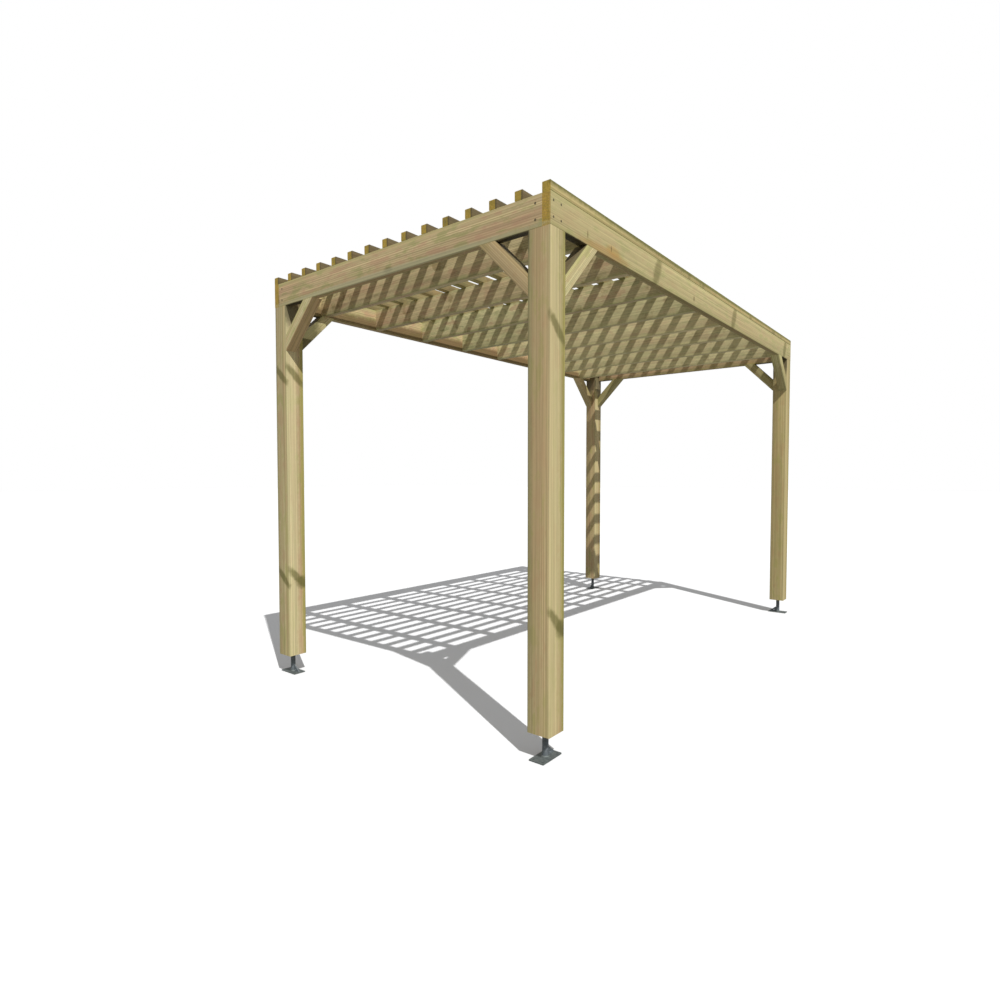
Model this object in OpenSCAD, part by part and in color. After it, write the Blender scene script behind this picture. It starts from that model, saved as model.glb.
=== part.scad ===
// Flat-topped timber pergola: four posts on levelling feet, a ring of beams,
// eight joists between the long beams and fifteen slats laid across them.
// Millimetres, +Z up. The origin is on the ground at the middle of the plan.
// The length runs along X. Front is -X and right is -Y.

/* [Overall size] */
// Length over the long beams
pergola_length = 4000; // [3200:10:5000]
// Width over the short beams
pergola_width = 2120; // [1700:10:2800]
// Clear height from the ground to the underside of the beams
head_height = 2354; // [1900:2:2900]

/* [Timber] */
// Side of the square posts
post_size = 120; // [90:1:150]
// Thickness of the beams and joists
board_thick = 44; // [32:1:60]
// Depth of the beams and joists
beam_depth = 144; // [110:1:180]
// Width of a slat
slat_width = 44; // [30:1:60]
// Height of a slat
slat_height = 44; // [30:1:60]
// Side of the square corner braces
brace_size = 70; // [50:1:90]

/* [Layout] */
// Distance between joist centres
joist_pitch = 475; // [390:1:570]
// Reach of a brace from the post, along the underside of the beam
brace_reach = 284; // [230:1:345]

/* [Levelling feet] */
// Gap between the ground and the underside of a post
foot_height = 120; // [90:1:160]
// Long side of the ground plate
plate_length = 150; // [125:1:190]
// Short side of the ground plate
plate_width = 80; // [66:1:100]
// Thickness of the ground plate
plate_thick = 6; // [4:0.5:10]
// Diameter of the stem
stem_d = 30; // [20:1:36]
// Depth of the socket in the post's underside
socket_depth = 100; // [60:1:140]
// Radial clearance of the stem in its socket
socket_clear = 0.5; // [0.2:0.1:2]
// Diameter of the anchor holes in the plate
anchor_hole_d = 11; // [8:0.5:14]
// Distance between anchor holes along the plate
anchor_spacing_long = 120; // [100:1:144]
// Distance between anchor holes across the plate
anchor_spacing_short = 50; // [40:1:60]
// Height of the weld fillet round the stem
weld_height = 7; // [3:0.5:12]
// Gap between the gusset's toe and the end of the plate
gusset_margin = 6; // [0:1:12]
// Height of the gusset where it meets the stem
gusset_height = 40; // [25:1:60]
// Thickness of the gusset
gusset_thick = 6; // [4:0.5:8]
// Diameter of the hole in the gusset
gusset_hole_d = 11; // [6:0.5:14]
// Distance of that hole's centre from the stem
gusset_hole_out = 18; // [12:1:24]
// Height of that hole's centre above the plate
gusset_hole_up = 13; // [10:1:16]

/* [Hidden] */
$fn = 64;
joist_count = 8;
slat_count = 15;
half_length = pergola_length / 2;
half_width = pergola_width / 2;
beam_top = head_height + beam_depth;
slat_pitch = (pergola_width - slat_width) / (slat_count - 1);
wood_tan = [0.70, 0.62, 0.44];
wood_pale = [0.76, 0.71, 0.51];
wood_ochre = [0.72, 0.60, 0.30];
steel_grey = [0.36, 0.38, 0.38];

// Corners in turn round the plan, a quarter turn apart, as [x sign, y sign]
CORNERS = ["front_right", "back_right", "back_left", "front_left"];
SIGNS = [[-1, -1], [1, -1], [1, 1], [-1, 1]];
ENDS = ["front", "back"];
SIDES = ["right", "left"];

// Puts a piece drawn for the corner at [-x, -y], growing towards +x and +y,
// into the given corner by mirroring
module in_corner(signs) {
    translate([signs.x * half_length, signs.y * half_width, 0])
        mirror([signs.x > 0 ? 1 : 0, 0, 0])
            mirror([0, signs.y > 0 ? 1 : 0, 0])
                children();
}

// Places a foot under the middle of its post, a quarter turn on at each corner
module under_post(corner) {
    signs = SIGNS[corner];
    inset = post_size / 2;
    translate([signs.x * (half_length - inset), signs.y * (half_width - inset), 0])
        rotate([0, 0, 90 * corner])
            children();
}

// Ground plate with a welded stem, which stands in the post's socket
module foot(corner) {
    color(steel_grey)
        under_post(corner)
            union() {
                foot_plate();
                cylinder(d = stem_d, h = foot_height + socket_depth);
                translate([0, 0, plate_thick])
                    cylinder(d1 = stem_d + 2 * weld_height, d2 = stem_d, h = weld_height);
                gusset();
            }
}

module foot_plate() {
    difference() {
        translate([-plate_length / 2, -plate_width / 2, 0])
            cube([plate_length, plate_width, plate_thick]);
        for (x = [-1, 1], y = [-1, 1])
            translate([x * anchor_spacing_long / 2, y * anchor_spacing_short / 2, -1])
                cylinder(d = anchor_hole_d, h = plate_thick + 2);
    }
}

// Triangular stiffener between the stem and the inner end of the plate
module gusset() {
    stem_r = stem_d / 2;
    toe = plate_length / 2 - gusset_margin;
    root_z = plate_thick / 2;
    translate([0, gusset_thick / 2, 0])
        rotate([90, 0, 0])
            linear_extrude(height = gusset_thick)
                difference() {
                    polygon([
                        [0, root_z],
                        [toe, root_z],
                        [toe, plate_thick],
                        [stem_r, plate_thick + gusset_height],
                        [0, plate_thick + gusset_height]
                    ]);
                    translate([stem_r + gusset_hole_out, plate_thick + gusset_hole_up])
                        circle(d = gusset_hole_d);
                }
}

// Square post, rebated at the top so that both beams sit on its shoulders
module post(corner) {
    color(wood_tan)
        in_corner(SIGNS[corner])
            difference() {
                union() {
                    translate([0, 0, foot_height])
                        cube([post_size, post_size, head_height - foot_height]);
                    translate([board_thick, board_thick, foot_height])
                        cube([
                            post_size - board_thick,
                            post_size - board_thick,
                            beam_top - foot_height
                        ]);
                }
                translate([post_size / 2, post_size / 2, foot_height - 1])
                    cylinder(d = stem_d + 2 * socket_clear, h = socket_depth + 1);
            }
}

// Beam along a long side, full length, with its end grain showing
module long_beam(side) {
    color(wood_pale)
        translate([-half_length, side > 0 ? half_width - board_thick : -half_width, head_height])
            cube([pergola_length, board_thick, beam_depth]);
}

// Beam across an end, between the two long beams
module short_beam(end) {
    color(wood_tan)
        translate([
            end > 0 ? half_length - board_thick : -half_length,
            board_thick - half_width,
            head_height
        ])
            cube([board_thick, pergola_width - 2 * board_thick, beam_depth]);
}

// Joist between the long beams, number 1 nearest the front
module joist(number) {
    centre = (number - (joist_count + 1) / 2) * joist_pitch;
    color(wood_tan)
        translate([centre - board_thick / 2, board_thick - half_width, head_height])
            cube([board_thick, pergola_width - 2 * board_thick, beam_depth]);
}

// Slat along the whole length, number 1 over the right-hand beam
module slat(number) {
    color(wood_ochre)
        translate([-half_length, (number - 1) * slat_pitch - half_width, beam_top])
            cube([pergola_length, slat_width, slat_height]);
}

// Brace drawn in the XZ plane, with its outer face at y = 0 and both ends
// mitred: one against the post and one under the beam
module brace() {
    inner_leg = brace_reach - brace_size * sqrt(2);
    translate([post_size, brace_size, head_height])
        rotate([90, 0, 0])
            linear_extrude(height = brace_size)
                polygon([
                    [0, -brace_reach],
                    [0, -inner_leg],
                    [inner_leg, 0],
                    [brace_reach, 0]
                ]);
}

// Brace in the plane of a long side
module side_brace(corner) {
    color(wood_pale)
        in_corner(SIGNS[corner])
            brace();
}

// Brace in the plane of an end
module end_brace(corner) {
    color(wood_tan)
        in_corner(SIGNS[corner])
            mirror([1, -1, 0])
                brace();
}

for (c = [0:3])
    foot(c);
for (c = [0:3])
    post(c);
for (s = [0:1])
    long_beam(s);
for (e = [0:1])
    short_beam(e);
for (i = [1:joist_count])
    joist(i);
for (i = [1:slat_count])
    slat(i);
for (c = [0:3])
    side_brace(c);
for (c = [0:3])
    end_brace(c);
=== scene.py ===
import math
import random

import bmesh
import bpy
import numpy as np
from mathutils import Matrix, Vector


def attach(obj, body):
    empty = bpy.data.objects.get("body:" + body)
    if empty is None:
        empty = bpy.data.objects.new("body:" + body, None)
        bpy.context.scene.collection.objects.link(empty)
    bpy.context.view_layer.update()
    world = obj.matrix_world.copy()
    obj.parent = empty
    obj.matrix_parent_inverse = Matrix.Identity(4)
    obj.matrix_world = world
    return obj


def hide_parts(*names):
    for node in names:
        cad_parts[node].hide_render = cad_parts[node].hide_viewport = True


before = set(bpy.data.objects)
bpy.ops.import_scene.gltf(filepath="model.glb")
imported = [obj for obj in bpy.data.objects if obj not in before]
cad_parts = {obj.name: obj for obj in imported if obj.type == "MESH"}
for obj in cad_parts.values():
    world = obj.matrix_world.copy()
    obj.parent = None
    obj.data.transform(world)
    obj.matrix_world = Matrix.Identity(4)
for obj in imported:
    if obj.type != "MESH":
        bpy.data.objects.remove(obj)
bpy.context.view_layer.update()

# ---------------------------------------------------------------------------
# Levelling feet
# Four welded steel feet carry the posts: a flat plate with four anchor holes,
# a gusset with a lifting hole, and a threaded stem that screws up into the
# post. They are hot-dip galvanised, and the zinc has gone dull and dark.
# ---------------------------------------------------------------------------
MM = 0.001
HALF_LENGTH = 2000 * MM
HALF_WIDTH = 1060 * MM
POST = 120 * MM
FOOT_HEIGHT = 120 * MM
PLATE_LONG = 150 * MM
PLATE_SHORT = 80 * MM
PLATE_THICK = 6 * MM
PLATE_CORNER = 3 * MM
ANCHOR_LONG = 120 * MM
ANCHOR_SHORT = 50 * MM
HOLE_R = 5.5 * MM
STEM_R = 15 * MM
STEM_TOP = 220 * MM
THREAD_START = 50 * MM
THREAD_END = 128 * MM
THREAD_PITCH = 3.5 * MM
THREAD_DEPTH = 1.6 * MM
WELD = 7 * MM
GUSSET_THICK = 6 * MM
GUSSET_HEIGHT = 40 * MM
GUSSET_TOE = 69 * MM
GUSSET_HOLE_OUT = 33 * MM
GUSSET_HOLE_UP = 19 * MM

# Corner names in turn round the plan, a quarter turn apart, with their signs
CORNERS = {
    "front_right": (-1, -1),
    "back_right": (1, -1),
    "back_left": (1, 1),
    "front_left": (-1, 1),
}


def linear(colour):
    """An sRGB hex colour as linear RGBA."""
    parts = [int(colour[i : i + 2], 16) / 255 for i in (1, 3, 5)]
    parts = [c / 12.92 if c <= 0.04045 else ((c + 0.055) / 1.055) ** 2.4 for c in parts]
    return (*parts, 1.0)


def add(tree, kind, inputs=None, **settings):
    """Adds a node with its settings; inputs holds values, or the sockets to link in."""
    node = tree.nodes.new(kind)
    for name, value in settings.items():
        setattr(node, name, value)
    for name, value in (inputs or {}).items():
        if isinstance(value, bpy.types.NodeSocket):
            tree.links.new(value, node.inputs[name])
        else:
            node.inputs[name].default_value = value
    return node


def new_material(name):
    """An empty node material and its tree."""
    material = bpy.data.materials.new(name)
    material.use_nodes = True
    material.node_tree.nodes.clear()
    return material, material.node_tree


def dull_zinc(name, dark, light):
    """Weathered zinc on steel: grey between two tints, with faint crystal patches."""
    material, tree = new_material(name)
    place = add(tree, "ShaderNodeTexCoord").outputs["Object"]
    # Zinc crystals about 9 mm across, drawn with soft edges
    crystal = add(tree, "ShaderNodeTexVoronoi", {"Vector": place, "Scale": 110.0})
    crystal_grey = add(
        tree, "ShaderNodeSeparateColor", {"Color": crystal.outputs["Color"]}
    )
    # White bloom and dirt in patches of about 25 mm
    bloom = add(
        tree,
        "ShaderNodeTexNoise",
        {"Vector": place, "Scale": 40.0, "Detail": 5.0, "Roughness": 0.65},
    )
    patch = add(
        tree,
        "ShaderNodeMix",
        {
            "Factor": 0.7,
            "A": crystal_grey.outputs["Red"],
            "B": bloom.outputs["Fac"],
        },
        data_type="FLOAT",
    )
    colour = add(tree, "ShaderNodeValToRGB", {"Fac": patch.outputs["Result"]})
    colour.color_ramp.elements[0].position = 0.2
    colour.color_ramp.elements[0].color = linear(dark)
    colour.color_ramp.elements[1].position = 0.8
    colour.color_ramp.elements[1].color = linear(light)
    rough = add(
        tree,
        "ShaderNodeMapRange",
        {"Value": patch.outputs["Result"], "To Min": 0.42, "To Max": 0.66},
    )
    bump = add(
        tree,
        "ShaderNodeBump",
        {"Height": bloom.outputs["Fac"], "Strength": 0.25, "Distance": 0.4 * MM},
    )
    shader = add(
        tree,
        "ShaderNodeBsdfPrincipled",
        {
            "Base Color": colour.outputs["Color"],
            "Metallic": 0.45,
            "Roughness": rough.outputs["Result"],
            "Normal": bump.outputs["Normal"],
        },
    )
    add(tree, "ShaderNodeOutputMaterial", {"Surface": shader.outputs["BSDF"]})
    return material


ZINC = dull_zinc("hot_dip_galvanised_steel_weathered", "#535a5a", "#767d7b")
# The stem and gusset are given a lighter zinc than the plate: painted light, lifting the shade
# under the post
PAINTED_LIGHT_ZINC = dull_zinc("galvanised_steel_painted_light", "#5f666b", "#868e93")


def flat_bar(name, outline, holes, thickness, edge=0.6 * MM):
    """A flat piece cut to an outline with round holes and broken edges, as a mesh."""
    curve = bpy.data.curves.new(name, "CURVE")
    curve.dimensions = "2D"
    curve.fill_mode = "BOTH"
    curve.extrude = thickness / 2 - edge
    curve.bevel_depth = edge
    curve.bevel_resolution = 1
    curve.offset = -edge
    rings = [outline]
    for x, y in holes:
        turns = [-2 * math.pi * i / 28 for i in range(28)]
        rings.append([(x + HOLE_R * math.cos(t), y + HOLE_R * math.sin(t)) for t in turns])
    for ring in rings:
        spline = curve.splines.new("POLY")
        spline.points.add(len(ring) - 1)
        for point, (x, y) in zip(spline.points, ring):
            point.co = (x, y, 0, 1)
        spline.use_cyclic_u = True
    holder = bpy.data.objects.new(name, curve)
    bpy.context.scene.collection.objects.link(holder)
    depsgraph = bpy.context.evaluated_depsgraph_get()
    mesh = bpy.data.meshes.new_from_object(holder.evaluated_get(depsgraph))
    bpy.data.objects.remove(holder)
    return mesh


def rounded_rectangle(long, short, corner, steps=5):
    """Corner points of a rectangle with rounded corners, counter-clockwise."""
    points = []
    for quarter, (sx, sy) in enumerate(((1, 1), (-1, 1), (-1, -1), (1, -1))):
        for i in range(steps):
            turn = math.pi / 2 * (quarter + i / (steps - 1))
            x = sx * (long / 2 - corner) + corner * math.cos(turn)
            y = sy * (short / 2 - corner) + corner * math.sin(turn)
            points.append((x, y))
    return points


def turned(bm, rings, steps, finish):
    """Adds a closed turned solid: rings lists (height, radius at each turn) upwards."""
    loops = []
    for height, radius in rings:
        loop = []
        for i in range(steps):
            turn = 2 * math.pi * i / steps
            r = radius(turn)
            loop.append(bm.verts.new((r * math.cos(turn), r * math.sin(turn), height)))
        loops.append(loop)
    for low, high in zip(loops, loops[1:]):
        for i in range(steps):
            j = (i + 1) % steps
            bm.faces.new((low[i], low[j], high[j], high[i])).material_index = finish
    bm.faces.new(reversed(loops[0])).material_index = finish
    bm.faces.new(loops[-1]).material_index = finish


def thread_radius(height):
    """The stem's radius round one turn at a height, where its thread runs."""
    fade = min(1, (height - THREAD_START) / THREAD_PITCH, (THREAD_END - height) / THREAD_PITCH)

    def radius(turn):
        phase = (height / THREAD_PITCH - turn / (2 * math.pi)) % 1
        return STEM_R - THREAD_DEPTH * max(0, fade) * abs(2 * phase - 1)

    return radius


def levelling_foot(corner, index):
    """One foot: plate, gusset, threaded stem and the ring of weld that joins them."""
    plate = flat_bar(
        "plate",
        rounded_rectangle(PLATE_LONG, PLATE_SHORT, PLATE_CORNER),
        [(sx * ANCHOR_LONG / 2, sy * ANCHOR_SHORT / 2) for sx in (-1, 1) for sy in (-1, 1)],
        PLATE_THICK,
    )
    plate.transform(Matrix.Translation((0, 0, PLATE_THICK / 2)))
    top = PLATE_THICK + GUSSET_HEIGHT
    gusset = flat_bar(
        "gusset",
        [
            (STEM_R - 4 * MM, PLATE_THICK - 1 * MM),
            (GUSSET_TOE, PLATE_THICK - 1 * MM),
            (GUSSET_TOE, PLATE_THICK + 2 * MM),
            (STEM_R + 6 * MM, top),
            (STEM_R - 4 * MM, top),
        ],
        [(GUSSET_HOLE_OUT, GUSSET_HOLE_UP)],
        GUSSET_THICK,
    )
    gusset.transform(Matrix.Rotation(math.pi / 2, 4, "X"))
    for face in gusset.polygons:
        face.material_index = 1
    bm = bmesh.new()
    bm.from_mesh(plate)
    bm.from_mesh(gusset)
    stem = [
        (PLATE_THICK - 2 * MM, lambda turn: STEM_R),
        (THREAD_START, thread_radius(THREAD_START)),
    ]
    rows = round((THREAD_END - THREAD_START) / THREAD_PITCH) * 6
    for row in range(1, rows):
        height = THREAD_START + (THREAD_END - THREAD_START) * row / rows
        stem.append((height, thread_radius(height)))
    stem.append((THREAD_END, lambda turn: STEM_R))
    stem.append((STEM_TOP - 1 * MM, lambda turn: STEM_R))
    stem.append((STEM_TOP, lambda turn: STEM_R - 1 * MM))
    turned(bm, stem, 28, 1)
    # The weld's ripples are 2 mm apart and follow the ring round
    bead = []
    for i in range(7):
        swing = math.pi / 2 * i / 6
        height = PLATE_THICK - 1 * MM + (WELD + 1 * MM) * math.sin(swing)
        reach = (WELD - 1 * MM) * math.cos(swing)

        def bead_radius(turn, reach=reach):
            return STEM_R + 0.4 * MM + reach * (1 + 0.07 * math.sin(34 * turn))

        bead.append((height, bead_radius))
    turned(bm, bead, 136, 0)
    signs = CORNERS[corner]
    centre = (
        signs[0] * (HALF_LENGTH - POST / 2),
        signs[1] * (HALF_WIDTH - POST / 2),
        0,
    )
    quarter = Matrix.Rotation(math.pi / 2 * index, 4, "Z")
    bmesh.ops.transform(bm, matrix=Matrix.Translation(centre) @ quarter, verts=bm.verts)
    mesh = bpy.data.meshes.new("levelling_foot_" + corner)
    bm.to_mesh(mesh)
    bm.free()
    mesh.materials.append(ZINC)
    mesh.materials.append(PAINTED_LIGHT_ZINC)
    mesh.shade_smooth()
    mesh.set_sharp_from_angle(angle=math.radians(30))
    foot = bpy.data.objects.new("levelling_foot_" + corner, mesh)
    bpy.context.scene.collection.objects.link(foot)
    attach(foot, "root")
    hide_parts("foot_" + corner)


for index, corner in enumerate(CORNERS):
    levelling_foot(corner, index)

# ---------------------------------------------------------------------------
# Posts
# Four 120 mm square posts of pressure-treated pine, planed, cut clear of
# the heart. The top is rebated on both outer faces so that the beams sit
# on the shoulders, and the underside is bored for the foot's stem.
# ---------------------------------------------------------------------------
ARRIS = 2.5 * MM
POST_ARRIS = 4 * MM
random.seed(11)


def lay_grain(mesh, along, boards, pith):
    """Gives each board in a mesh its own piece of tree.

    pith gives how near and how far its pith lies, and how many degrees off upright.
    The attribute grain holds metres along the board and across it from the pith,
    section holds the place in its cross-section from -1 to 1 each way, tone is a
    lightness from -1 to 1, shaded_slope is 1 on faces that lie back, which get
    painted shade, and end_grain is 1 on the sawn ends.
    """
    along = Vector(along).normalized()
    across = Vector((0, 0, 1)).cross(along)
    if across.length < 0.1:
        across = Vector((1, 0, 0))
    across.normalize()
    upward = along.cross(across)
    axes = np.array([along, across, upward])
    points = np.zeros(len(mesh.vertices) * 3)
    mesh.vertices.foreach_get("co", points)
    points = points.reshape(-1, 3)
    grain = np.zeros_like(points)
    section = np.zeros_like(points)
    tone = np.zeros(len(points))
    for rows in np.array_split(np.arange(len(points)), boards):
        middle = (points[rows].min(0) + points[rows].max(0)) / 2
        nearest, farthest, lean = pith
        reach = random.uniform(nearest, farthest)
        turn = random.choice((-90, 90)) + random.uniform(-lean, lean)
        turn = math.radians(turn)
        shift = (
            random.uniform(0, 60),
            reach * math.cos(turn),
            reach * math.sin(turn),
        )
        local = (points[rows] - middle) @ axes.T
        grain[rows] = local + shift
        section[rows] = local / abs(local).max(0)
        tone[rows] = random.uniform(-1, 1)
    field = mesh.attributes.new("grain", "FLOAT_VECTOR", "POINT")
    field.data.foreach_set("vector", grain.ravel())
    field = mesh.attributes.new("section", "FLOAT_VECTOR", "POINT")
    field.data.foreach_set("vector", section.ravel())
    field = mesh.attributes.new("tone", "FLOAT", "POINT")
    field.data.foreach_set("value", tone)
    # Faces that lie back are marked for painted shade
    field = mesh.attributes.new("shaded_slope", "FLOAT", "FACE")
    shaded_slopes = [float(0.3 < face.normal.z < 0.9) for face in mesh.polygons]
    field.data.foreach_set("value", shaded_slopes)
    field = mesh.attributes.new("end_grain", "FLOAT", "FACE")
    ends = [float(abs(face.normal.dot(along)) > 0.9) for face in mesh.polygons]
    field.data.foreach_set("value", ends)


def pine_pattern(tree, colours, ring, clear, marks):
    """Planed, pressure-treated pine: rings, fibre, knots and tint, from the grain attribute.

    colours names the hex colours early, late, warm, green, edge and end; ring is the
    ring spacing in metres; clear is the share of branch places with no knot; marks
    lists stains, knots and patches of painted shade at places on the object.
    """
    grain = add(tree, "ShaderNodeAttribute", attribute_name="grain").outputs["Vector"]
    tone = add(tree, "ShaderNodeAttribute", attribute_name="tone").outputs["Fac"]
    ends = add(tree, "ShaderNodeAttribute", attribute_name="end_grain").outputs["Fac"]

    def stretched(along, across):
        mapping = add(
            tree,
            "ShaderNodeMapping",
            {"Vector": grain, "Scale": (along, across, across)},
            vector_type="POINT",
        )
        return mapping.outputs["Vector"]

    def noise(along, across, detail, roughness=0.5):
        node = add(
            tree,
            "ShaderNodeTexNoise",
            {
                "Vector": stretched(along, across),
                "Scale": 1.0,
                "Detail": detail,
                "Roughness": roughness,
            },
        )
        return node.outputs["Fac"]

    def ramp(value, low, high, to_low=0.0, to_high=1.0):
        node = add(
            tree,
            "ShaderNodeMapRange",
            {
                "Value": value,
                "From Min": low,
                "From Max": high,
                "To Min": to_low,
                "To Max": to_high,
            },
            interpolation_type="SMOOTHSTEP",
        )
        return node.outputs["Result"]

    def math_of(operation, a, b):
        return add(tree, "ShaderNodeMath", {0: a, 1: b}, operation=operation).outputs[0]

    def blend(factor, a, b, kind="MIX"):
        node = add(
            tree,
            "ShaderNodeMix",
            {"Factor": factor, 6: a, 7: b},
            data_type="RGBA",
            blend_type=kind,
        )
        return node.outputs[2]

    # Knots are branches that run out from the pith: about one in 0.5 m of board
    parts = add(tree, "ShaderNodeSeparateXYZ", {"Vector": grain})
    angle = math_of("ARCTAN2", parts.outputs["Z"], parts.outputs["Y"])
    squared = math_of(
        "ADD",
        math_of("MULTIPLY", parts.outputs["Y"], parts.outputs["Y"]),
        math_of("MULTIPLY", parts.outputs["Z"], parts.outputs["Z"]),
    )
    radius = math_of("SQRT", squared, 0.0)
    per_metre = 2.2
    per_radian = 0.7
    branch_place = add(
        tree,
        "ShaderNodeCombineXYZ",
        {
            "X": math_of("MULTIPLY", parts.outputs["X"], per_metre),
            "Y": math_of("MULTIPLY", angle, per_radian),
        },
    )
    branch = add(
        tree,
        "ShaderNodeTexVoronoi",
        {"Vector": branch_place.outputs["Vector"], "Scale": 1.0},
        voronoi_dimensions="2D",
    )
    away = add(
        tree,
        "ShaderNodeVectorMath",
        {0: branch_place.outputs["Vector"], 1: branch.outputs["Position"]},
        operation="SUBTRACT",
    )
    away = add(tree, "ShaderNodeSeparateXYZ", {"Vector": away.outputs["Vector"]})
    # A knot is 1.3 times as long as it is wide
    knot_along = math_of("MULTIPLY", away.outputs["X"], 1 / per_metre / 1.3)
    knot_round = math_of("MULTIPLY", away.outputs["Y"], 1 / per_radian)
    knot_round = math_of("MULTIPLY", knot_round, radius)
    knot_reach = math_of(
        "SQRT",
        math_of(
            "ADD",
            math_of("MULTIPLY", knot_along, knot_along),
            math_of("MULTIPLY", knot_round, knot_round),
        ),
        0.0,
    )
    # Each branch has its own thickness, and many spots have none
    chance = add(tree, "ShaderNodeSeparateColor", {"Color": branch.outputs["Color"]})
    knot_r = ramp(chance.outputs["Red"], clear, 1.0, 3 * MM, 9 * MM)
    grew = ramp(chance.outputs["Red"], clear, clear + 0.02)
    knot = ramp(math_of("SUBTRACT", knot_reach, knot_r), 2 * MM, -2 * MM)
    knot = math_of("MULTIPLY", knot, grew)
    halo_r = math_of("MULTIPLY", knot_r, 2.6)
    halo = ramp(math_of("SUBTRACT", knot_reach, halo_r), 9 * MM, -9 * MM)
    halo = math_of("MULTIPLY", halo, grew)

    # Growth rings round the pith, wandering slowly along the board
    swirl = math_of("MULTIPLY", halo, 5 * MM)
    bent = add(
        tree,
        "ShaderNodeCombineXYZ",
        {
            "X": math_of("MULTIPLY", parts.outputs["X"], 0.05),
            "Y": math_of("ADD", parts.outputs["Y"], swirl),
            "Z": math_of("ADD", parts.outputs["Z"], swirl),
        },
    )
    rings = add(
        tree,
        "ShaderNodeTexWave",
        {
            "Vector": bent.outputs["Vector"],
            "Scale": 0.314 / ring,
            "Distortion": 3.2,
            "Detail": 2.0,
            "Detail Scale": 0.35,
            "Detail Roughness": 0.5,
        },
        wave_type="RINGS",
        rings_direction="X",
        wave_profile="SAW",
    )
    latewood = ramp(rings.outputs["Fac"], 0.5, 1.0)
    # Fibre 1.5 mm wide, lines 6 mm, streaks 12 mm, seeping 50 mm and clouds 90 mm wide,
    # all along the grain
    fibre = noise(5.0, 650.0, 2.0)
    line = noise(0.4, 170.0, 2.0, 0.6)
    streak = noise(0.9, 85.0, 3.0, 0.6)
    cloud = noise(0.8, 11.0, 2.0)
    seep = noise(2.2, 19.0, 4.0, 0.6)
    # Mottling in patches of about 120 by 40 mm, where the treatment dried unevenly
    mottle = noise(8.0, 24.0, 4.0, 0.6)

    def tinted(base, mask, share, tint):
        return blend(math_of("MULTIPLY", mask, share), base, linear(tint))

    warm = colours["warm"]
    green = colours["green"]
    colour = tinted(linear(colours["early"]), latewood, 0.66, colours["late"])
    colour = tinted(colour, ramp(cloud, 0.42, 0.7), 0.6, warm)
    colour = tinted(colour, ramp(seep, 0.5, 0.75), 0.5, green)
    colour = tinted(colour, ramp(mottle, 0.52, 0.64), 0.65, warm)
    colour = tinted(colour, ramp(mottle, 0.48, 0.36), 0.65, green)
    # Each board leans its own way, pinker or greener
    colour = tinted(colour, ramp(tone, 0.0, 1.0), 0.45, warm)
    colour = tinted(colour, ramp(tone, 0.0, -1.0), 0.35, green)
    # The treatment soaks in deepest along the edges, which go greener
    section = add(tree, "ShaderNodeAttribute", attribute_name="section").outputs["Vector"]
    section = add(
        tree, "ShaderNodeVectorMath", {0: section}, operation="ABSOLUTE"
    ).outputs["Vector"]
    section = add(tree, "ShaderNodeSeparateXYZ", {"Vector": section})
    edge = math_of("MINIMUM", section.outputs["Y"], section.outputs["Z"])
    edge = ramp(math_of("ADD", edge, math_of("MULTIPLY", cloud, 0.5)), 0.85, 1.3)
    colour = tinted(colour, edge, 0.7, colours["edge"])
    streaks = ramp(streak, 0.3, 0.7, 0.9, 1.06)
    shade = math_of("MULTIPLY", streaks, ramp(fibre, 0.3, 0.7, 0.92, 1.05))
    shade = math_of("MULTIPLY", shade, ramp(line, 0.35, 0.65, 0.84, 1.08))
    shade = math_of("MULTIPLY", shade, math_of("ADD", math_of("MULTIPLY", tone, 0.05), 1.0))
    # Sawn ends drink more of the treatment: ochre, faintly ringed, with olive patches
    end_colour = tinted(linear(colours["end"]), latewood, 0.35, colours["late"])
    end_colour = tinted(end_colour, ramp(mottle, 0.45, 0.65), 0.45, "#8f8238")
    colour = blend(ends, colour, end_colour)
    colour = tinted(colour, halo, 0.35, warm)
    side = math_of("SUBTRACT", 1.0, ends)
    colour = tinted(colour, math_of("MULTIPLY", knot, side), 0.7, "#5f4b30")
    place = add(tree, "ShaderNodeTexCoord").outputs["Object"]
    if "blotch" in colours:
        # Brown damp patches of about 100 mm
        damp = add(
            tree,
            "ShaderNodeTexNoise",
            {"Vector": place, "Scale": 8.0, "Detail": 4.0, "Roughness": 0.6},
        )
        colour = tinted(colour, ramp(damp.outputs["Fac"], 0.56, 0.68), 0.55, colours["blotch"])
    # The stains and the patches of painted shade have edges frayed by about 20 mm
    ragged = add(
        tree,
        "ShaderNodeTexNoise",
        {"Vector": place, "Scale": 45.0, "Detail": 3.0, "Roughness": 0.6},
    )
    for centre, reach, turn, tint, strength in marks:
        local = add(
            tree,
            "ShaderNodeMapping",
            {"Vector": place, "Location": centre, "Rotation": turn, "Scale": reach},
            vector_type="TEXTURE",
        )
        distance = add(
            tree,
            "ShaderNodeVectorMath",
            {0: local.outputs["Vector"]},
            operation="LENGTH",
        )
        fray = math_of("MULTIPLY", ragged.outputs["Fac"], 0.7)
        frayed = math_of("ADD", distance.outputs["Value"], fray)
        colour = tinted(colour, ramp(frayed, 1.75, 0.95), strength, tint)
    # Faces that lie back, such as the braces' upper faces, are darkened: painted shade
    shaded_slope = add(tree, "ShaderNodeAttribute", attribute_name="shaded_slope").outputs["Fac"]
    colour = tinted(colour, shaded_slope, 0.85, "#4a4028")
    grey = add(tree, "ShaderNodeCombineXYZ", {"X": shade, "Y": shade, "Z": shade})
    colour = blend(1.0, colour, grey.outputs["Vector"], "MULTIPLY")
    rough = ramp(streak, 0.2, 0.8, 0.62, 0.8)
    height = math_of("ADD", math_of("MULTIPLY", latewood, 0.5), fibre)
    height = math_of("SUBTRACT", height, math_of("MULTIPLY", knot, 0.4))
    return colour, rough, height


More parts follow.
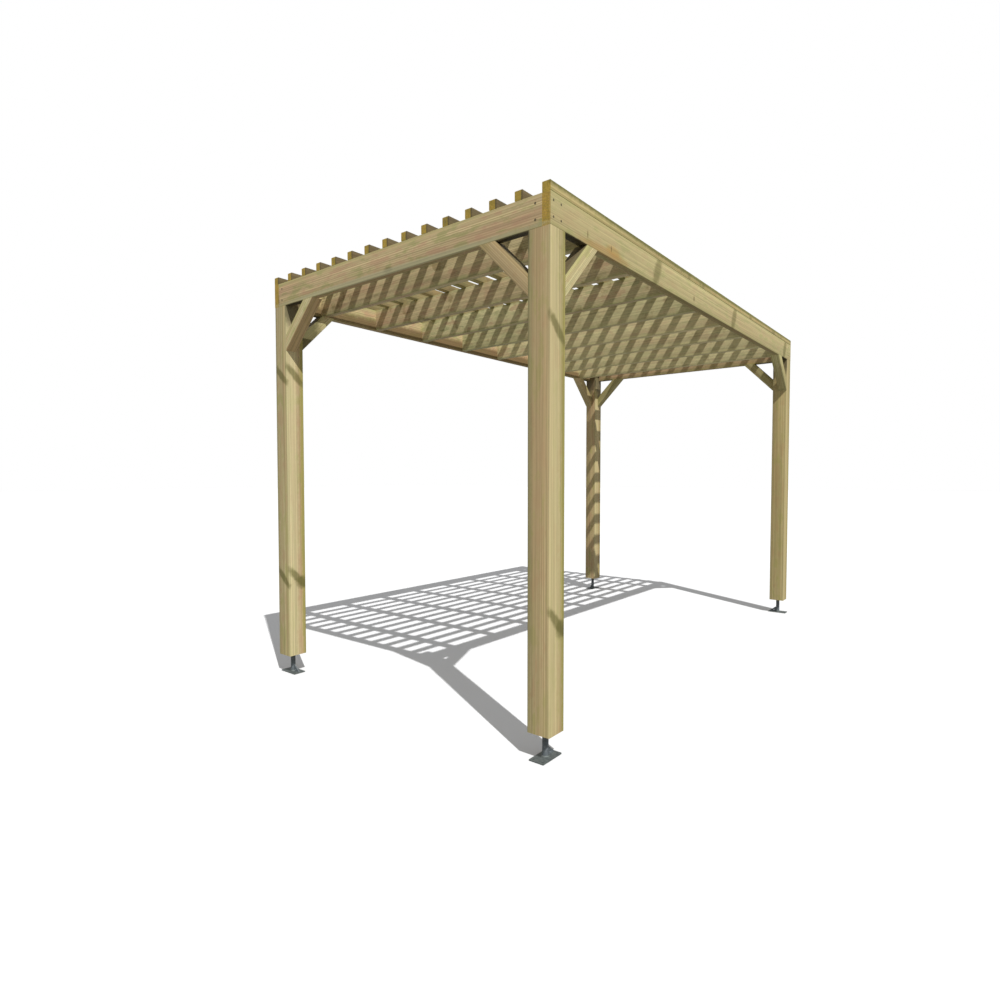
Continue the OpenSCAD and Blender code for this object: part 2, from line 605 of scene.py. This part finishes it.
def treated_pine(name, colours, ring, clear=0.8, marks=()):
    """A matt timber finish: planed softwood, pressure-treated and left bare outdoors."""
    material, tree = new_material(name)
    colour, rough, height = pine_pattern(tree, colours, ring, clear, marks)
    bump = add(
        tree, "ShaderNodeBump", {"Height": height, "Strength": 0.35, "Distance": 0.35 * MM}
    )
    shader = add(
        tree,
        "ShaderNodeBsdfPrincipled",
        {
            "Base Color": colour,
            "Roughness": rough,
            "IOR": 1.5,
            "Specular IOR Level": 0.3,
            "Normal": bump.outputs["Normal"],
        },
    )
    add(tree, "ShaderNodeOutputMaterial", {"Surface": shader.outputs["BSDF"]})
    return material


def stain_and_shade_patch(centre, half, tint, strength, turn=(0, 0, 0)):
    """A stain, or a patch of painted shade, for a marks list: its centre and half sizes in mm, and
    its turn in degrees.
    """
    place = tuple(value * MM for value in centre)
    reach = tuple(value * MM for value in half)
    return place, reach, tuple(math.radians(angle) for angle in turn), tint, strength


# Where the posts' faces and middles lie, in mm. Washes come before the stains and the painted shade
# over them
FRONT = -2000
RIGHT = -1060
INNER_X = 1880
INNER_Y = 940
MIDDLE_X = 1940
MIDDLE_Y = 1000
MIDDLE_Z = 1240
ALL_UP = 1650
POST_STAINS_AND_SHADE = []
# Every right-hand face is cream by its front edge and yellow-green down its far edge
for y, cream in ((RIGHT, "#cdbf90"), (INNER_Y, "#d5cb9d")):
    for x in (-INNER_X, -FRONT):
        POST_STAINS_AND_SHADE.append(stain_and_shade_patch((x - 90, y, MIDDLE_Z), (46, 9, ALL_UP), cream, 0.6))
        POST_STAINS_AND_SHADE.append(stain_and_shade_patch((x, y, MIDDLE_Z), (27, 14, ALL_UP), "#9f9849", 0.7))
# The front face is pinker heartwood on one post and greener on the other, and
# both go grey towards their left edge
for y, heart in ((-MIDDLE_Y, "#cfab84"), (MIDDLE_Y, "#b3b47c")):
    POST_STAINS_AND_SHADE.append(stain_and_shade_patch((FRONT, y - 12, MIDDLE_Z), (9, 52, ALL_UP), heart, 0.22))
    POST_STAINS_AND_SHADE.append(stain_and_shade_patch((FRONT, y + 60, MIDDLE_Z), (12, 20, ALL_UP), "#8f8a60", 0.5))
# The back posts are browner timber
for y in (-MIDDLE_Y, MIDDLE_Y):
    POST_STAINS_AND_SHADE.append(stain_and_shade_patch((MIDDLE_X, y, MIDDLE_Z), (90, 90, ALL_UP), "#ae9252", 0.25))
# The treatment pooled in bands against the stickers in the stack, and in a wedge
OLIVE = "#6f6a38"
for height in (1920, 625):
    for y in (RIGHT, INNER_Y):
        POST_STAINS_AND_SHADE.append(stain_and_shade_patch((-MIDDLE_X, y, height), (95, 20, 23), OLIVE, 0.75, (0, 46, 0)))
    POST_STAINS_AND_SHADE.append(stain_and_shade_patch((FRONT, MIDDLE_Y, height), (20, 92, 22), OLIVE, 0.75, (43, 0, 0)))
for y in (RIGHT, INNER_Y):
    POST_STAINS_AND_SHADE.append(stain_and_shade_patch((-1907, y, 592), (40, 20, 40), OLIVE, 0.7))
# The inner faces are darkened at the top, between the braces: painted shade
POST_TOP_SHADE = "#453f2a"
for sx, sy in CORNERS.values():
    for centre, half in (
        ((sx * INNER_X, sy * MIDDLE_Y, 2330), (10, 90, 100)),
        ((sx * MIDDLE_X, sy * INNER_Y, 2330), (90, 10, 100)),
    ):
        POST_STAINS_AND_SHADE.append(stain_and_shade_patch(centre, half, POST_TOP_SHADE, 0.7))

# Pale tan, with a green cast from the copper treatment and pinker heartwood
POST_PINE = treated_pine(
    "pressure_treated_pine_post",
    {
        "early": "#cab98e",
        "late": "#a18659",
        "warm": "#bf9e7a",
        "green": "#ada969",
        "edge": "#bdb283",
        "end": "#c9a54f",
    },
    ring=9 * MM,
    clear=0.99,
    marks=POST_STAINS_AND_SHADE,
)


def planed_copy(name, node, along, material, pith, arris=ARRIS):
    """A CAD timber with its long outer edges eased, as a planing mill leaves them."""
    along = Vector(along).normalized()
    bm = bmesh.new()
    bm.from_mesh(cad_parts[node].data)
    bmesh.ops.remove_doubles(bm, verts=bm.verts, dist=0.01 * MM)
    bmesh.ops.dissolve_limit(
        bm, angle_limit=math.radians(1), verts=bm.verts, edges=bm.edges
    )
    eased = []
    for edge in bm.edges:
        run = edge.verts[1].co - edge.verts[0].co
        lengthways = abs(run.normalized().dot(along)) > 0.99
        if lengthways and edge.is_convex and edge.calc_face_angle(0) > 1:
            eased.append(edge)
    bmesh.ops.bevel(
        bm, geom=eased, offset=arris, segments=3, profile=0.5, affect="EDGES"
    )
    mesh = bpy.data.meshes.new(name)
    bm.to_mesh(mesh)
    bm.free()
    lay_grain(mesh, along, 1, pith)
    mesh.materials.clear()
    mesh.materials.append(material)
    for face in mesh.polygons:
        face.material_index = 0
    mesh.shade_smooth()
    mesh.set_sharp_from_angle(angle=math.radians(40))
    timber = bpy.data.objects.new(name, mesh)
    bpy.context.scene.collection.objects.link(timber)
    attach(timber, "root")
    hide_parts(node)
    return timber


for corner in CORNERS:
    post = planed_copy(
        "pine_post_" + corner,
        "post_" + corner,
        (0, 0, 1),
        POST_PINE,
        (55 * MM, 110 * MM, 60),
        POST_ARRIS,
    )

# ---------------------------------------------------------------------------
# Long beams
# Two 44 by 144 mm boards on edge run the full length over the side posts.
# Their ends are sawn square and left bare, so the end grain shows.
# ---------------------------------------------------------------------------
# The right-hand beam is the palest board, crossed by three bands, with short dark
# dashes and orange patches low down
BEAM_STAINS_AND_SHADE = [stain_and_shade_patch((0, RIGHT, 2432), (2700, 9, 85), "#cfc08e", 0.35)]
BEAM_STAINS_AND_SHADE += [
    stain_and_shade_patch((x, RIGHT, 2427), (38, 20, 100), OLIVE, 0.6, (0, 26, 0)) for x in (-925, 390, 1790)
]
BEAM_STAINS_AND_SHADE += [
    stain_and_shade_patch((-1690, RIGHT, 2403), (4, 8, 18), "#6b5230", 0.75),
    stain_and_shade_patch((-1520, RIGHT, 2368), (230, 16, 22), "#bd935a", 0.55),
    stain_and_shade_patch((-1440, RIGHT, 2392), (70, 16, 26), "#c09452", 0.5),
    stain_and_shade_patch((-1463, RIGHT, 2399), (4, 8, 16), "#6b5230", 0.75),
    stain_and_shade_patch((-381, RIGHT, 2397), (7, 8, 17), "#5b4426", 0.8),
]
# A knot in the front beam
BEAM_STAINS_AND_SHADE.append(stain_and_shade_patch((FRONT, -20, 2372), (12, 34, 15), "#6a5c36", 0.65))
# The undersides are darkened brown, and nearly black in the corners above the braces: painted shade
BEAM_X = 1978
BEAM_Y = 1038
for side in (-1, 1):
    BEAM_STAINS_AND_SHADE.append(stain_and_shade_patch((0, side * BEAM_Y, 2349), (2400, 34, 7), "#8f7643", 0.7))
    BEAM_STAINS_AND_SHADE.append(stain_and_shade_patch((side * BEAM_X, 0, 2349), (34, 1300, 7), "#8f7643", 0.6))
for sx, sy in CORNERS.values():
    BEAM_STAINS_AND_SHADE.append(stain_and_shade_patch((sx * 1800, sy * BEAM_Y, 2349), (150, 36, 9), "#2f2a1c", 0.9))
    BEAM_STAINS_AND_SHADE.append(stain_and_shade_patch((sx * BEAM_X, sy * 860, 2349), (36, 150, 9), "#2f2a1c", 0.9))
# The lower half of the left-hand beam's inner face is darkened brown: a painted shadow
BEAM_STAINS_AND_SHADE.append(stain_and_shade_patch((0, 1016, 2388), (2400, 9, 42), "#7b6340", 0.8))
# A paler grey-green strip runs along the foot of the front beam
BEAM_STAINS_AND_SHADE.append(stain_and_shade_patch((FRONT, 0, 2365), (14, 1000, 15), "#cbc6a0", 0.65))
BEAM_PINE = treated_pine(
    "pressure_treated_pine_beam",
    {
        "early": "#d0be90",
        "late": "#a1885e",
        "warm": "#c19c7c",
        "green": "#9ea266",
        "edge": "#b5af75",
        "end": "#bd9c45",
    },
    ring=11 * MM,
    clear=0.9,
    marks=BEAM_STAINS_AND_SHADE,
)
for side in ("right", "left"):
    beam = planed_copy(
        "pine_long_beam_" + side,
        "long_beam_" + side,
        (1, 0, 0),
        BEAM_PINE,
        (130 * MM, 260 * MM, 20),
    )

# ---------------------------------------------------------------------------
# Short beams
# The same 44 by 144 mm boards close the frame at each end, cut between the
# long beams and screwed to the posts from outside.
# ---------------------------------------------------------------------------
for end in ("front", "back"):
    beam = planed_copy(
        "pine_short_beam_" + end,
        "short_beam_" + end,
        (0, 1, 0),
        BEAM_PINE,
        (130 * MM, 260 * MM, 12),
    )

# ---------------------------------------------------------------------------
# Corner braces
# Eight 70 mm square struts stiffen the corners at 45 degrees, mitred against
# the post and under the beam, with their outer faces flush with both.
# ---------------------------------------------------------------------------
BRACE = 70 * MM
BRACE_PINE = treated_pine(
    "pressure_treated_pine_brace",
    {
        "early": "#e4d9a8",
        "late": "#a8905e",
        "warm": "#cfb184",
        "green": "#bab874",
        "edge": "#b9b477",
        "end": "#c9a54f",
    },
    ring=8 * MM,
    marks=[
        # The brace behind the front left post is darkened: a painted shadow
        stain_and_shade_patch((-1830, 990, 2180), (112, 14, 230), "#57542f", 0.8, (0, 8, 0)),
        # The end braces at the front: one brown on its inner edge, one all tan
        stain_and_shade_patch((-1965, 798, 2212), (95, 300, 8), "#b5946a", 0.75, (-45, 0, 0)),
        stain_and_shade_patch((FRONT, -800, 2200), (14, 260, 260), "#bf9b72", 0.55),
        # The back braces are darkened: painted shade
        stain_and_shade_patch((1900, 0, 2200), (330, 1500, 260), "#847a4c", 0.45),
    ],
)
for corner, (sx, sy) in CORNERS.items():
    for kind, along in (("side", (-sx, 0, 1)), ("end", (0, -sy, 1))):
        brace = planed_copy(
            f"pine_{kind}_brace_{corner}",
            f"{kind}_brace_{corner}",
            along,
            BRACE_PINE,
            (60 * MM, 140 * MM, 60),
        )

# ---------------------------------------------------------------------------
# Joists
# Eight 44 by 144 mm boards on edge cross between the long beams at 475 mm
# centres, all sawn from the same stock and screwed slantwise at both ends.
# ---------------------------------------------------------------------------
BOARD_THICK = 44 * MM
BEAM_DEPTH = 144 * MM
BEAM_UNDER = 2354 * MM
JOISTS = 8
JOIST_PITCH = 475 * MM
JOIST_LENGTH = 2 * (HALF_WIDTH - BOARD_THICK)
JOIST_PINE = treated_pine(
    "pressure_treated_pine_joist",
    {
        "early": "#dad2a2",
        "late": "#a28f64",
        "warm": "#bb9a7a",
        "green": "#9da071",
        "edge": "#b1b27b",
        "end": "#c3a04a",
        "blotch": "#7d6a3e",
    },
    ring=8 * MM,
    marks=[
        # The joists towards the back are paler boards
        stain_and_shade_patch((1000, -200, 2426), (1500, 1500, 400), "#eee1ae", 0.4),
    ],
)


def socket_in(tree, name, kind):
    """Adds a named input to a geometry tree and returns its identifier."""
    return tree.interface.new_socket(name=name, in_out="INPUT", socket_type=kind).identifier


def boards_tree():
    """Geometry nodes for a row of planed boards with eased long edges and square ends.

    The start mesh holds the points, on a board centred at the origin, where a
    countersink is cut. Returns the tree and the identifiers of its inputs.
    """
    tree = bpy.data.node_groups.new("planed_boards", "GeometryNodeTree")
    names = {}
    for name, kind in (
        ("Screw Points", "NodeSocketGeometry"),
        ("Count", "NodeSocketInt"),
        ("First", "NodeSocketVector"),
        ("Step", "NodeSocketVector"),
        ("Run", "NodeSocketVector"),
        ("Width", "NodeSocketFloat"),
        ("Height", "NodeSocketFloat"),
        ("Arris", "NodeSocketFloat"),
        ("Sink Radius", "NodeSocketFloat"),
        ("Timber", "NodeSocketMaterial"),
    ):
        names[name] = socket_in(tree, name, kind)
    tree.interface.new_socket(name="Boards", in_out="OUTPUT", socket_type="NodeSocketGeometry")
    given = add(tree, "NodeGroupInput").outputs
    half = add(
        tree, "ShaderNodeVectorMath", {0: given["Run"], "Scale": 0.5}, operation="SCALE"
    ).outputs[0]
    back = add(
        tree, "ShaderNodeVectorMath", {0: given["Run"], "Scale": -0.5}, operation="SCALE"
    ).outputs[0]
    line = add(tree, "GeometryNodeCurvePrimitiveLine", {"Start": back, "End": half})
    upright = add(tree, "GeometryNodeSetCurveNormal", {"Curve": line.outputs["Curve"]}, mode="Z_UP")
    section = add(
        tree,
        "GeometryNodeCurvePrimitiveQuadrilateral",
        {"Width": given["Width"], "Height": given["Height"]},
    )
    eased = add(
        tree,
        "GeometryNodeFilletCurve",
        {"Curve": section.outputs["Curve"], "Radius": given["Arris"], "Count": 3},
        mode="POLY",
    )
    board = add(
        tree,
        "GeometryNodeCurveToMesh",
        {
            "Curve": upright.outputs["Curve"],
            "Profile Curve": eased.outputs["Curve"],
            "Fill Caps": True,
        },
    )
    depth = add(tree, "ShaderNodeMath", {0: given["Sink Radius"], 1: 1.2}, operation="MULTIPLY")
    cone = add(
        tree,
        "GeometryNodeMeshCone",
        {
            "Vertices": 16,
            "Radius Top": given["Sink Radius"],
            "Radius Bottom": 0.001,
            "Depth": depth.outputs[0],
        },
    )
    lowered = add(tree, "ShaderNodeMath", {0: depth.outputs[0], 1: -0.9}, operation="MULTIPLY")
    low = add(tree, "ShaderNodeCombineXYZ", {"Z": lowered.outputs[0]})
    cone = add(
        tree,
        "GeometryNodeTransform",
        {"Geometry": cone.outputs["Mesh"], "Translation": low.outputs[0]},
    )
    cutters = add(
        tree,
        "GeometryNodeInstanceOnPoints",
        {"Points": given["Screw Points"], "Instance": cone.outputs["Geometry"]},
    )
    sunk = add(
        tree,
        "GeometryNodeMeshBoolean",
        {"Mesh 1": board.outputs["Mesh"], "Mesh 2": cutters.outputs["Instances"]},
        operation="DIFFERENCE",
    )
    row = add(
        tree,
        "GeometryNodeMeshLine",
        {"Count": given["Count"], "Start Location": given["First"], "Offset": given["Step"]},
    )
    laid = add(
        tree,
        "GeometryNodeInstanceOnPoints",
        {"Points": row.outputs["Mesh"], "Instance": sunk.outputs["Mesh"]},
    )
    real = add(tree, "GeometryNodeRealizeInstances", {"Geometry": laid.outputs["Instances"]})
    finished = add(
        tree,
        "GeometryNodeSetMaterial",
        {"Geometry": real.outputs["Geometry"], "Material": given["Timber"]},
    )
    add(tree, "NodeGroupOutput", {"Boards": finished.outputs["Geometry"]})
    return tree, names


def grown(name, tree, names, values, start=None):
    """Runs a geometry tree with its inputs set and returns the plain mesh it makes."""
    holder = bpy.data.objects.new(name, start or bpy.data.meshes.new(name))
    bpy.context.scene.collection.objects.link(holder)
    modifier = holder.modifiers.new("grow", "NODES")
    modifier.node_group = tree
    for key, value in values.items():
        modifier[names[key]] = value
    depsgraph = bpy.context.evaluated_depsgraph_get()
    mesh = bpy.data.meshes.new_from_object(holder.evaluated_get(depsgraph))
    holder.modifiers.remove(modifier)
    bpy.data.objects.remove(holder)
    mesh.name = name
    return mesh


def board_piece(name, mesh, along, count, pith):
    """Turns a mesh of boards into a finished piece."""
    lay_grain(mesh, along, count, pith)
    mesh.shade_smooth()
    mesh.set_sharp_from_angle(angle=math.radians(40))
    piece = bpy.data.objects.new(name, mesh)
    bpy.context.scene.collection.objects.link(piece)
    return piece


BOARDS, BOARD_INPUTS = boards_tree()
joists = grown(
    "pine_joists",
    BOARDS,
    BOARD_INPUTS,
    {
        "Count": JOISTS,
        "First": (-JOIST_PITCH * (JOISTS - 1) / 2, 0, BEAM_UNDER + BEAM_DEPTH / 2),
        "Step": (JOIST_PITCH, 0, 0),
        "Run": (0, JOIST_LENGTH, 0),
        "Width": BOARD_THICK,
        "Height": BEAM_DEPTH,
        "Arris": ARRIS,
        "Timber": JOIST_PINE,
    },
)
joists = board_piece("pine_joists", joists, (0, 1, 0), JOISTS, (90 * MM, 220 * MM, 30))
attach(joists, "root")
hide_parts(*[f"joist_{i}" for i in range(1, JOISTS + 1)])

# ---------------------------------------------------------------------------
# Roof slats
# Fifteen 44 mm square battens run the full length over the joists, flush
# with the beams all round. Each is screwed down from above, through a
# countersunk hole over every joist.
# ---------------------------------------------------------------------------
SLATS = 15
SLAT = 44 * MM
SLAT_PITCH = (2 * HALF_WIDTH - SLAT) / (SLATS - 1)
BEAM_TOP = BEAM_UNDER + BEAM_DEPTH
SINK_R = 5.5 * MM
# All but the first slat are darkened down their right-hand sides, olive-brown at the front ends and
# dull brown further along: painted shade
SLAT_MIDDLE = 2520
SIDES = [(SLAT_PITCH * i - HALF_WIDTH) / MM for i in range(1, SLATS)]
SLAT_STAINS_AND_SHADE = [
    stain_and_shade_patch((FRONT, side, SLAT_MIDDLE), (150, 9, 60), "#57523a", 0.85) for side in SIDES
]
SLAT_STAINS_AND_SHADE += [stain_and_shade_patch((0, side, SLAT_MIDDLE), (2700, 7, 60), "#76644a", 0.6) for side in SIDES]
# The outermost slat has an olive stain along its upper outer edge
SLAT_STAINS_AND_SHADE.append(stain_and_shade_patch((0, RIGHT, 2542), (2700, 12, 21), "#63662f", 0.8))
SLAT_PINE = treated_pine(
    "pressure_treated_pine_slat",
    {
        "early": "#c4ba85",
        "late": "#8f8057",
        "warm": "#b39966",
        "green": "#9ca362",
        "edge": "#a7a463",
        "end": "#b79b42",
        "blotch": "#7b7346",
    },
    ring=7 * MM,
    marks=SLAT_STAINS_AND_SHADE,
)
CROSSINGS = [JOIST_PITCH * (i - (JOISTS - 1) / 2) for i in range(JOISTS)]
CROSSINGS += [sign * (HALF_LENGTH - BOARD_THICK / 2) for sign in (-1, 1)]
sink_points = bpy.data.meshes.new("sink_points")
sink_points.from_pydata([(x, 0, SLAT / 2) for x in CROSSINGS], [], [])
slats = grown(
    "pine_slats",
    BOARDS,
    BOARD_INPUTS,
    {
        "Count": SLATS,
        "First": (0, -SLAT_PITCH * (SLATS - 1) / 2, BEAM_TOP + SLAT / 2),
        "Step": (0, SLAT_PITCH, 0),
        "Run": (2 * HALF_LENGTH, 0, 0),
        "Width": SLAT,
        "Height": SLAT,
        "Arris": ARRIS,
        "Sink Radius": SINK_R,
        "Timber": SLAT_PINE,
    },
    sink_points,
)
slats = board_piece("pine_slats", slats, (1, 0, 0), SLATS, (60 * MM, 130 * MM, 90))
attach(slats, "root")
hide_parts(*[f"slat_{i}" for i in range(1, SLATS + 1)])

# ---------------------------------------------------------------------------
# Screws
# Coated countersunk timber screws with a six-sided drive hold every joint:
# through the beams into the posts, through the braces, slantwise through the
# joists, and down through the slats.
# ---------------------------------------------------------------------------
HEAD_R = 5 * MM
HEAD_DEEP = 2.2 * MM
HEAD_PROUD = 0.6 * MM
HEAD_SUNK = 0.7 * MM
DRIVE_R = 2.3 * MM


def coated_screw():
    """Hardened steel with a baked brown-grey coat."""
    material, tree = new_material("coated_timber_screw_steel")
    place = add(tree, "ShaderNodeTexCoord").outputs["Object"]
    # The coat is uneven at about 2 mm
    patch = add(tree, "ShaderNodeTexNoise", {"Vector": place, "Scale": 500.0, "Detail": 2.0})
    colour = add(tree, "ShaderNodeValToRGB", {"Fac": patch.outputs["Fac"]})
    colour.color_ramp.elements[0].position = 0.35
    colour.color_ramp.elements[0].color = linear("#2f2a22")
    colour.color_ramp.elements[1].position = 0.7
    colour.color_ramp.elements[1].color = linear("#5a5243")
    shader = add(
        tree,
        "ShaderNodeBsdfPrincipled",
        {"Base Color": colour.outputs["Color"], "Metallic": 0.3, "Roughness": 0.5},
    )
    add(tree, "ShaderNodeOutputMaterial", {"Surface": shader.outputs["BSDF"]})
    return material


def screws_tree():
    """Geometry nodes that set a screw head at each point, turned to its facing attribute."""
    tree = bpy.data.node_groups.new("screw_heads", "GeometryNodeTree")
    names = {}
    for name, kind in (
        ("Seats", "NodeSocketGeometry"),
        ("Head Radius", "NodeSocketFloat"),
        ("Head Depth", "NodeSocketFloat"),
        ("Drive Radius", "NodeSocketFloat"),
        ("Seed", "NodeSocketInt"),
        ("Finish", "NodeSocketMaterial"),
    ):
        names[name] = socket_in(tree, name, kind)
    tree.interface.new_socket(name="Screws", in_out="OUTPUT", socket_type="NodeSocketGeometry")
    given = add(tree, "NodeGroupInput").outputs
    disc = add(
        tree,
        "GeometryNodeMeshCylinder",
        {"Vertices": 14, "Radius": given["Head Radius"], "Depth": given["Head Depth"]},
        fill_type="NGON",
    )
    drive = add(
        tree,
        "GeometryNodeMeshCylinder",
        {"Vertices": 6, "Radius": given["Drive Radius"], "Depth": given["Head Depth"]},
        fill_type="NGON",
    )
    raised = add(
        tree, "ShaderNodeMath", {0: given["Head Depth"], 1: 0.4}, operation="MULTIPLY"
    )
    raised = add(tree, "ShaderNodeCombineXYZ", {"Z": raised.outputs[0]})
    drive = add(
        tree,
        "GeometryNodeTransform",
        {"Geometry": drive.outputs["Mesh"], "Translation": raised.outputs[0]},
    )
    head = add(
        tree,
        "GeometryNodeMeshBoolean",
        {"Mesh 1": disc.outputs["Mesh"], "Mesh 2": drive.outputs["Geometry"]},
        operation="DIFFERENCE",
    )
    facing = add(
        tree,
        "GeometryNodeInputNamedAttribute",
        {"Name": "facing"},
        data_type="FLOAT_VECTOR",
    )
    aimed = add(
        tree,
        "FunctionNodeAlignRotationToVector",
        {"Vector": facing.outputs["Attribute"]},
        axis="Z",
    )
    turn = add(
        tree,
        "FunctionNodeRandomValue",
        {2: 0.0, 3: 2 * math.pi, "Seed": given["Seed"]},
        data_type="FLOAT",
    )
    spin = add(
        tree,
        "FunctionNodeAxisAngleToRotation",
        {"Axis": (0, 0, 1), "Angle": turn.outputs[1]},
    )
    turned_in = add(
        tree,
        "FunctionNodeRotateRotation",
        {"Rotation": aimed.outputs["Rotation"], "Rotate By": spin.outputs["Rotation"]},
        rotation_space="LOCAL",
    )
    driven = add(
        tree,
        "GeometryNodeInstanceOnPoints",
        {
            "Points": given["Seats"],
            "Instance": head.outputs["Mesh"],
            "Rotation": turned_in.outputs["Rotation"],
        },
    )
    real = add(tree, "GeometryNodeRealizeInstances", {"Geometry": driven.outputs["Instances"]})
    finished = add(
        tree,
        "GeometryNodeSetMaterial",
        {"Geometry": real.outputs["Geometry"], "Material": given["Finish"]},
    )
    add(tree, "NodeGroupOutput", {"Screws": finished.outputs["Geometry"]})
    return tree, names


seats = []


def drive(place, facing, proud=HEAD_PROUD):
    """Notes one screw: the middle of its head on the face, and the way the head faces."""
    facing = Vector(facing).normalized()
    seats.append((Vector(place) + facing * (proud - HEAD_DEEP / 2), facing))


# Beams to posts: two screws high and low, in line with each piece behind
LOW_SCREW = BEAM_UNDER + 37 * MM
HIGH_SCREW = BEAM_UNDER + 108 * MM
for sx, sy in CORNERS.values():
    for height in (LOW_SCREW, HIGH_SCREW):
        drive((sx * HALF_LENGTH, sy * (HALF_WIDTH - 80 * MM), height), (sx, 0, 0))
        for inset in (23 * MM, 83 * MM):
            drive((sx * (HALF_LENGTH - inset), sy * HALF_WIDTH, height), (0, sy, 0))

# Braces: one screw near each end, through the upper face, out of sight in the corner
UPPER_LEG = 284 * MM - BRACE * math.sqrt(2)
BRACE_SCREW = 34 * MM
for sx, sy in CORNERS.values():
    for out in (BRACE_SCREW, UPPER_LEG - BRACE_SCREW):
        height = BEAM_UNDER - UPPER_LEG + out
        face = HALF_WIDTH - BRACE / 2
        drive((sx * (HALF_LENGTH - POST - out), sy * face, height), (sx, 0, 1))
        face = HALF_LENGTH - BRACE / 2
        drive((sx * face, sy * (HALF_WIDTH - POST - out), height), (0, sy, 1))

# Joists: two slantwise screws in the back face at each end
JOIST_SCREW = 28 * MM
for x in CROSSINGS[:JOISTS]:
    for sy in (-1, 1):
        for height in (BEAM_UNDER + 40 * MM, BEAM_UNDER + 100 * MM):
            y = sy * (JOIST_LENGTH / 2 - JOIST_SCREW)
            drive((x + BOARD_THICK / 2, y, height), (1, 0, 0), 0.3 * MM)

# Slats: one screw down into each piece crossed
for i in range(SLATS):
    y = SLAT_PITCH * (i - (SLATS - 1) / 2)
    for x in CROSSINGS:
        drive((x, y, BEAM_TOP + SLAT), (0, 0, 1), -HEAD_SUNK)

seat_mesh = bpy.data.meshes.new("screw_seats")
seat_mesh.from_pydata([place for place, _ in seats], [], [])
field = seat_mesh.attributes.new("facing", "FLOAT_VECTOR", "POINT")
field.data.foreach_set("vector", [c for _, facing in seats for c in facing])
SCREWS, SCREW_INPUTS = screws_tree()
screws = grown(
    "timber_screws",
    SCREWS,
    SCREW_INPUTS,
    {
        "Head Radius": HEAD_R,
        "Head Depth": HEAD_DEEP,
        "Drive Radius": DRIVE_R,
        "Seed": 5,
        "Finish": coated_screw(),
    },
    seat_mesh,
)
screws = bpy.data.objects.new("timber_screws", screws)
bpy.context.scene.collection.objects.link(screws)
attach(screws, "root")

# ---------------------------------------------------------------------------
# Floor, light and camera
# A plain white floor, a high sun over the right-hand side that throws the
# slats' shadows, and an even pale sky for fill.
# ---------------------------------------------------------------------------
floor_mesh = bpy.data.meshes.new("studio_floor")
FLOOR = 60
floor_mesh.from_pydata(
    [(-FLOOR, -FLOOR, 0), (FLOOR, -FLOOR, 0), (FLOOR, FLOOR, 0), (-FLOOR, FLOOR, 0)],
    [],
    [(0, 1, 2, 3)],
)
floor = bpy.data.objects.new("studio_floor", floor_mesh)
bpy.context.scene.collection.objects.link(floor)
floor_paint, tree = new_material("matt_white_floor")
# The floor looks white but throws back little light, so the roof's underside stays dark
white = add(tree, "ShaderNodeBsdfDiffuse", {"Color": (0.76, 0.77, 0.79, 1)})
quiet = add(tree, "ShaderNodeBsdfDiffuse", {"Color": (0.26, 0.26, 0.25, 1)})
ray = add(tree, "ShaderNodeLightPath")
shader = add(
    tree,
    "ShaderNodeMixShader",
    {0: ray.outputs["Is Camera Ray"], 1: quiet.outputs[0], 2: white.outputs[0]},
)
add(tree, "ShaderNodeOutputMaterial", {"Surface": shader.outputs[0]})
floor_mesh.materials.append(floor_paint)

SUN_TRAVEL = Vector((0.328, 0.633, -1.0))
lamp = bpy.data.lights.new("sun", "SUN")
lamp.energy = 3.8
lamp.angle = math.radians(0.5)
lamp.color = (1.0, 0.985, 0.96)
sun = bpy.data.objects.new("sun", lamp)
sun.rotation_euler = SUN_TRAVEL.to_track_quat("-Z", "Y").to_euler()
bpy.context.scene.collection.objects.link(sun)

world = bpy.data.worlds.new("pale_sky")
bpy.context.scene.world = world
world.use_nodes = True
tree = world.node_tree
tree.nodes.clear()
glow = add(tree, "ShaderNodeBackground", {"Color": (1, 1, 1, 1), "Strength": 0.45})
seen = add(tree, "ShaderNodeBackground", {"Color": (1, 1, 1, 1), "Strength": 1.0})
ray = add(tree, "ShaderNodeLightPath")
mixed = add(
    tree,
    "ShaderNodeMixShader",
    {0: ray.outputs["Is Camera Ray"], 1: glow.outputs[0], 2: seen.outputs[0]},
)
add(tree, "ShaderNodeOutputWorld", {"Surface": mixed.outputs[0]})
bpy.context.scene.view_settings.view_transform = "Standard"

eye = bpy.data.cameras.new("viewpoint")
eye.lens = 22.212
eye.sensor_width = 36
eye.clip_end = 200
camera = bpy.data.objects.new("viewpoint", eye)
camera.location = (-4.2262, -2.5603, 1.2736)
camera.rotation_euler = (math.radians(87.862), 0, math.radians(-51.415))
bpy.context.scene.collection.objects.link(camera)
bpy.context.scene.camera = camera
